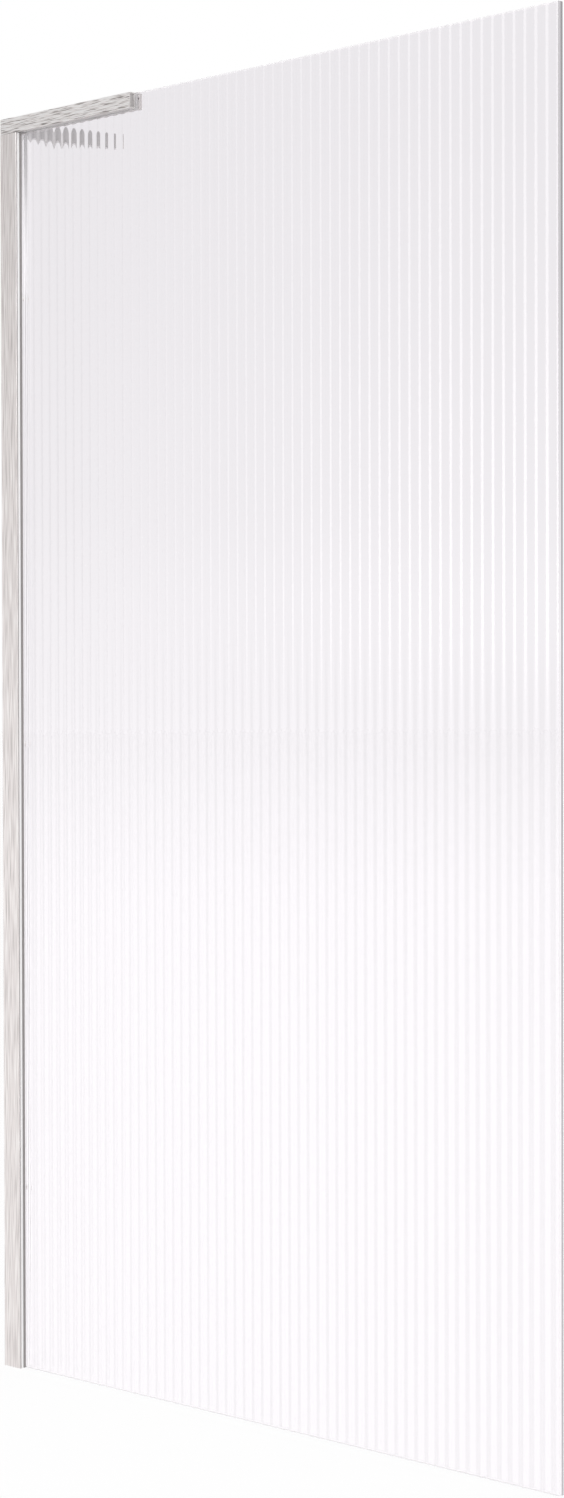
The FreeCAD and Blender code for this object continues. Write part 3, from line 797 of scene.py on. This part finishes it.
def fluted_glass():
    """The sheet of glass, its cut edges arrised, in place of the faceted solid."""
    low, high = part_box("glass_panel")
    holder = new_object("glass_maker", bpy.data.meshes.new("glass_maker"))
    with_inputs(
        holder,
        fluted_sheet_tree(),
        {
            "Left": low.x,
            "Right": high.x,
            "Front Mean": low.y + FLUTE_DEPTH * MM / 2,
            "Back": high.y,
            "Height": high.z,
            "Arris": GLASS_ARRIS * MM,
            "Flute Swing": FLUTE_DEPTH * MM / 2,
            "Flutes": FLUTE_COUNT,
            "Steps": FLUTE_STEPS,
            "Slot Radius": SLOT_R * MM,
            "Slot Bottom": RAIL_MIDDLE * MM,
            "First Slot": SLOT_X[0] * MM,
            "Second Slot": SLOT_X[1] * MM,
            "Glass": GLASS,
        },
    )
    edge = holder.modifiers.new("arris", "BEVEL")
    edge.width = CUT_ARRIS * MM
    edge.segments = 1
    edge.limit_method = "ANGLE"
    edge.angle_limit = CUT_ARRIS_ANGLE
    glass = plain_mesh(holder, "fluted_glass")
    glass.data.materials.clear()
    for material in (GLASS, GLASS_EDGE, GLASS_RIM):
        glass.data.materials.append(material)
    for face in glass.data.polygons:
        normal = face.normal
        if normal.x > SIDE_FACING:
            face.material_index = FREE_EDGE
        elif abs(normal.y) < FLAT_FACING and abs(normal.x) + abs(normal.z) > SIDE_FACING:
            face.material_index = RIM
        else:
            face.material_index = SHEET
    smooth_with_sharp_edges(glass.data)
    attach(glass, "screen")
    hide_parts("glass_panel")


# ---- small parts --------------------------------------------------------------------------
def rubber_strip(name, node, outline, finish):
    """A gasket pressed through its die: the outline (x, y in mm) along the whole channel."""
    low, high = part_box(node)
    mesh = prism(name, outline, low.z, high.z)
    mesh.materials.append(finish)
    smooth_with_sharp_edges(mesh)
    strip = new_object(name, mesh)
    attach(strip, BODY[node])
    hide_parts(node)


def ribbed_front_gasket():
    """Wedge gasket: two grooves and a rounded lip on the side that shows, a toe under the bead."""
    rubber_strip("ribbed_front_gasket", "front_gasket", [
        (12, -7.8), (14.5, -8.7), (24, -8.7), (24, -7.3), (25.9, -7.3), (26.45, -7.15),
        (26.72, -6.85), (26.75, -6.3), (26.35, -6.1), (26.35, -5.9), (26.78, -5.7), (26.82, -5.2),
        (26.42, -5.0), (26.42, -4.8), (26.86, -4.6), (26.88, -3.9), (26.6, -3.5), (25.2, -3.42),
        (24.2, -3.6), (23.2, -4.0), (21, -4.0), (20.8, -4.35), (20.2, -4.35), (20, -4.0),
        (16, -4.0), (15.8, -4.35), (15.2, -4.35), (15, -4.0), (12, -4.0),
    ], DARK_RUBBER)


def ribbed_rear_gasket():
    """Slimmer strip behind the glass, its lip grooved once."""
    rubber_strip("ribbed_rear_gasket", "rear_gasket", [
        (10, 4.0), (12.4, 4.0), (12.6, 4.35), (13.2, 4.35), (13.4, 4.0), (18.4, 4.0), (18.7, 4.05),
        (18.87, 4.3), (18.84, 5.1), (18.4, 5.25), (18.4, 5.45), (18.78, 5.65), (18.7, 6.6),
        (18.3, 7.1), (16, 7.1), (16, 8.1), (12, 8.1), (10, 7.2),
    ], PALE_RUBBER)


def edge_packers():
    """Nylon packers, grooved so that water drains past the hidden edge of the glass."""
    outline = [(5.6, -6.4), (9.8, -6.4), (9.8, -4), (8, -4), (8, 4), (9.8, 4), (9.8, 6.4),
               (5.6, 6.4), (5.6, 1.2), (6.2, 0.8), (6.2, -0.8), (5.6, -1.2)]
    piece = new_object("packer", prism("packer", outline, 0.0, PACKER_LENGTH * MM))
    row_of("grooved_packers", piece, len(PACKER_Z), (0, 0, PACKER_Z[0]),
           (0, 0, PACKER_Z[1] - PACKER_Z[0]), NYLON, "glass_edge_packers")


def domed_caps():
    """Moulded covers over the locking screws: a soft dome, a parting line and a hollow back."""
    piece = turned("cap", [
        (3.5, 2.1), (3.5, 0.0), (4.85, 0.0), (5.0, 0.12), (4.93, 0.5), (4.86, 0.56), (4.84, 0.7),
        (4.88, 0.78), (4.62, 2.3), (4.5, 2.62), (4.25, 2.86), (3.8, 3.04), (3.1, 3.15), (2.0, 3.2),
        (0.9, 3.2), (0.7, 3.12), (0.5, 3.1),
    ])
    row_of("domed_caps", piece, len(LOCK_Z), (LOCK_X, CAP_SEAT_Y, LOCK_Z[0]),
           (0, 0, LOCK_Z[1] - LOCK_Z[0]), NICKEL_PLASTIC, "locking_screw_caps", BATHWARD)


def threaded(radius, start, end, pitch):
    """Rings of a thread between two heights: a root and a flat crest for each pitch."""
    root = radius * ROOT_SHARE
    rings = []
    height = start
    while height + pitch <= end:
        rings.append((root, height))
        rings += [(radius, height + pitch * share) for share in CREST_SHARES]
        height += pitch
    return rings + [(root, end)]


def locking_screws():
    """Button-head screws with a hexagon socket and a flat tip that bears on the sliding channel."""
    piece = turned("button_screw", [
        (1.5, -2.25), *threaded(1.95, -2.1, -0.1, 0.7), (1.9, 0.0), (3.35, 0.0), (3.4, 0.15),
        (3.2, 1.0), (2.7, 1.7), (2.1, 2.0), (1.25, 2.0, True), (1.25, 0.7, True), (0.4, 0.5),
    ])
    row_of("button_screws", piece, len(LOCK_Z), (LOCK_X, CAP_SEAT_Y, LOCK_Z[0]),
           (0, 0, LOCK_Z[1] - LOCK_Z[0]), TURNED, "locking_screws", BATHWARD)


def clamp_bolts():
    """Countersunk bolts with hexagon sockets that pull the rear plate to the rail's nut bar."""
    low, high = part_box("clamp_bolts")
    length = (high.y - low.y) / MM
    piece = turned("clamp_bolt", [
        (1.9, 0.0), (2.2, 0.3), *threaded(2.4, 0.4, 6.4, 0.8), (2.4, 6.5), (2.4, length - 2.55),
        (4.75, length - 0.2), (4.9, length - 0.12), (4.85, length - 0.02), (4.7, length),
        (1.62, length), (1.5, length - 0.12, True), (1.5, length - 1.7, True), (0.5, length - 1.95),
    ])
    row_of("countersunk_clamp_bolts", piece, len(SLOT_X), (SLOT_X[0], low.y / MM, RAIL_MIDDLE),
           (SLOT_X[1] - SLOT_X[0], 0, 0), TURNED, "clamp_bolts", BATHWARD)


# ---- studio -------------------------------------------------------------------------------
def studio_world():
    """A white room, greyer above the horizon, with panels whose edges draw lines down the flutes.

    Straight from the camera it is plain white. Behind the screen, a darker wall to the right of the
    view is only met by one side of each flute, and the wall past the free edge, bright at its foot
    and dark above, is only mirrored by the ends of the metal. In front, a narrow bright panel is
    only mirrored by the steep parts of the flutes.
    """
    world = bpy.data.worlds.new("studio")
    bpy.context.scene.world = world
    tree = emptied_tree(world)
    place = add_node(tree, "ShaderNodeTexCoord")
    way = add_node(tree, "ShaderNodeSeparateXYZ", {"Vector": place.outputs["Generated"]}).outputs

    def times(first, second):
        return math_of(tree, "MULTIPLY", first, second)

    def plus(first, second):
        return math_of(tree, "ADD", first, second)

    def between(value, edges):
        """One between the two edges, fading to nothing over each."""
        rise = spread(tree, value, *edges[0], 0.0, 1.0, True)
        return times(rise, spread(tree, value, *edges[1], 1.0, 0.0, True))

    def levels(stops, tint):
        """Grey levels by the sine of the elevation, in a tint."""
        sine = spread(tree, way["Z"], -1.0, 1.0, 0.0, 1.0)
        return colour_ramp(tree, sine, [
            ((height + 1) / 2, (*(level * channel for channel in tint), 1.0))
            for height, level in stops
        ])

    above = spread(tree, way["Z"], *HORIZON, 0.0, 1.0, True)
    below = math_of(tree, "SUBTRACT", 1.0, above)

    azimuth = math_of(tree, "DEGREES", math_of(tree, "ARCTAN2", way["Y"], way["X"]))
    darker = times(times(between(azimuth, DARK_WALL), below), DARK_WALL_LOSS)
    high = spread(tree, way["Z"], *SIDE_WALL_FOOT, 0.0, 1.0, True)
    change = spread(tree, high, 0.0, 1.0, SIDE_WALL_GAIN, -SIDE_WALL_LOSS)
    side_change = times(between(azimuth, SIDE_WALL), change)
    shade = plus(math_of(tree, "SUBTRACT", 1.0, darker), side_change)
    behind = add_node(
        tree, "ShaderNodeBackground", {"Color": levels(BACK_LEVELS, BACK_TINT), "Strength": shade}
    )

    opposite = math_of(tree, "ARCTAN2", times(way["X"], -1.0), times(way["Y"], -1.0))
    facing = math_of(tree, "DEGREES", opposite)
    height = times(above, spread(tree, way["Z"], *PANEL_TOP, 1.0, 0.0, True))
    panel = times(times(between(facing, PANEL), height), PANEL_LEVEL)
    front = add_node(
        tree,
        "ShaderNodeBackground",
        {"Color": levels(FRONT_LEVELS, FRONT_TINT), "Strength": plus(1.0, panel)},
    )

    half = spread(tree, way["Y"], *BACK_HALF, 0.0, 1.0, True)
    room = add_node(
        tree, "ShaderNodeMixShader", {0: half, 1: front.outputs[0], 2: behind.outputs[0]}
    )
    white = add_node(
        tree, "ShaderNodeBackground", {"Color": (1.0, 1.0, 1.0, 1.0), "Strength": 1.0}
    )
    rays = add_node(tree, "ShaderNodeLightPath")
    mixed = add_node(
        tree,
        "ShaderNodeMixShader",
        {0: rays.outputs["Is Camera Ray"], 1: room.outputs[0], 2: white.outputs[0]},
    )
    add_node(tree, "ShaderNodeOutputWorld", {"Surface": mixed.outputs[0]})


def studio_floor():
    """A floor at the bath rim's level, clear but for the faint shadow that it keeps."""
    half = FLOOR_HALF_M
    ring = ((-half, -half), (half, -half), (half, half), (-half, half))
    mesh = bpy.data.meshes.new("studio_floor")
    mesh.from_pydata([(x, y, -FLOOR_DROP * MM) for x, y in ring], [], [(0, 1, 2, 3)])
    floor = new_object("studio_floor", mesh)
    material = bpy.data.materials.new("clear_floor_with_shadow")
    tree = emptied_tree(material)
    matt = add_node(tree, "ShaderNodeBsdfDiffuse", {"Color": linear("#FFFFFF")})
    clear = add_node(tree, "ShaderNodeBsdfTransparent")
    mixed = add_node(
        tree, "ShaderNodeMixShader", {0: FLOOR_CLEARNESS, 1: matt.outputs[0], 2: clear.outputs[0]}
    )
    add_node(tree, "ShaderNodeOutputMaterial", {"Surface": mixed.outputs[0]})
    mesh.materials.append(material)


def soft_light(name, place, watts):
    """A square softbox at a place in metres, turned to the middle of the screen."""
    light = bpy.data.lights.new(name, "AREA")
    light.shape = "RECTANGLE"
    light.size = SOFTBOX_SIDE_M
    light.size_y = SOFTBOX_SIDE_M
    light.energy = watts
    lamp = new_object(name, light)
    aim = (Vector(SOFTBOX_TARGET_M) - Vector(place)).to_track_quat("-Z", "Y")
    lamp.matrix_world = Matrix.LocRotScale(Vector(place), aim, None)


def photograph_camera():
    """The camera that the photograph's edges were fitted to."""
    yaw = math.radians(CAMERA_YAW)
    pitch = math.radians(CAMERA_PITCH)
    roll = math.radians(CAMERA_ROLL)
    flat = math.cos(pitch)
    ahead = Vector((-math.sin(yaw) * flat, math.cos(yaw) * flat, -math.sin(pitch)))
    level = Vector((math.cos(yaw), math.sin(yaw), 0.0))
    upward = level.cross(ahead)
    right = level * math.cos(roll) + upward * math.sin(roll)
    up = upward * math.cos(roll) - level * math.sin(roll)
    lens = bpy.data.cameras.new("camera")
    lens.sensor_fit = "AUTO"
    lens.sensor_width = SENSOR_MM
    lens.lens = FOCAL_PX / IMAGE_HEIGHT_PX * SENSOR_MM
    camera = new_object("camera", lens)
    matrix = Matrix((right, up, -ahead)).transposed().to_4x4()
    matrix.translation = Vector(CAMERA_PLACE) * MM
    camera.matrix_world = matrix
    bpy.context.scene.camera = camera


# ---- assembly -----------------------------------------------------------------------------
photograph_camera()
studio_world()
studio_floor()
soft_light("front_softbox", *FRONT_SOFTBOX)
soft_light("rear_softbox", *REAR_SOFTBOX)

fluted_glass()
SHAPES = {node: softened(node, *looks) for node, looks in SOFTENED.items()}
paint_lips(SHAPES["wall_profile"], SHAPES["glazing_profile"])
paint_undersides(SHAPES["rail_tube"])
paint_undersides(SHAPES["rail_clamp_plate"])
ribbed_front_gasket()
ribbed_rear_gasket()
edge_packers()
locking_screws()
domed_caps()
clamp_bolts()

bpy.context.scene.view_settings.view_transform = "Standard"
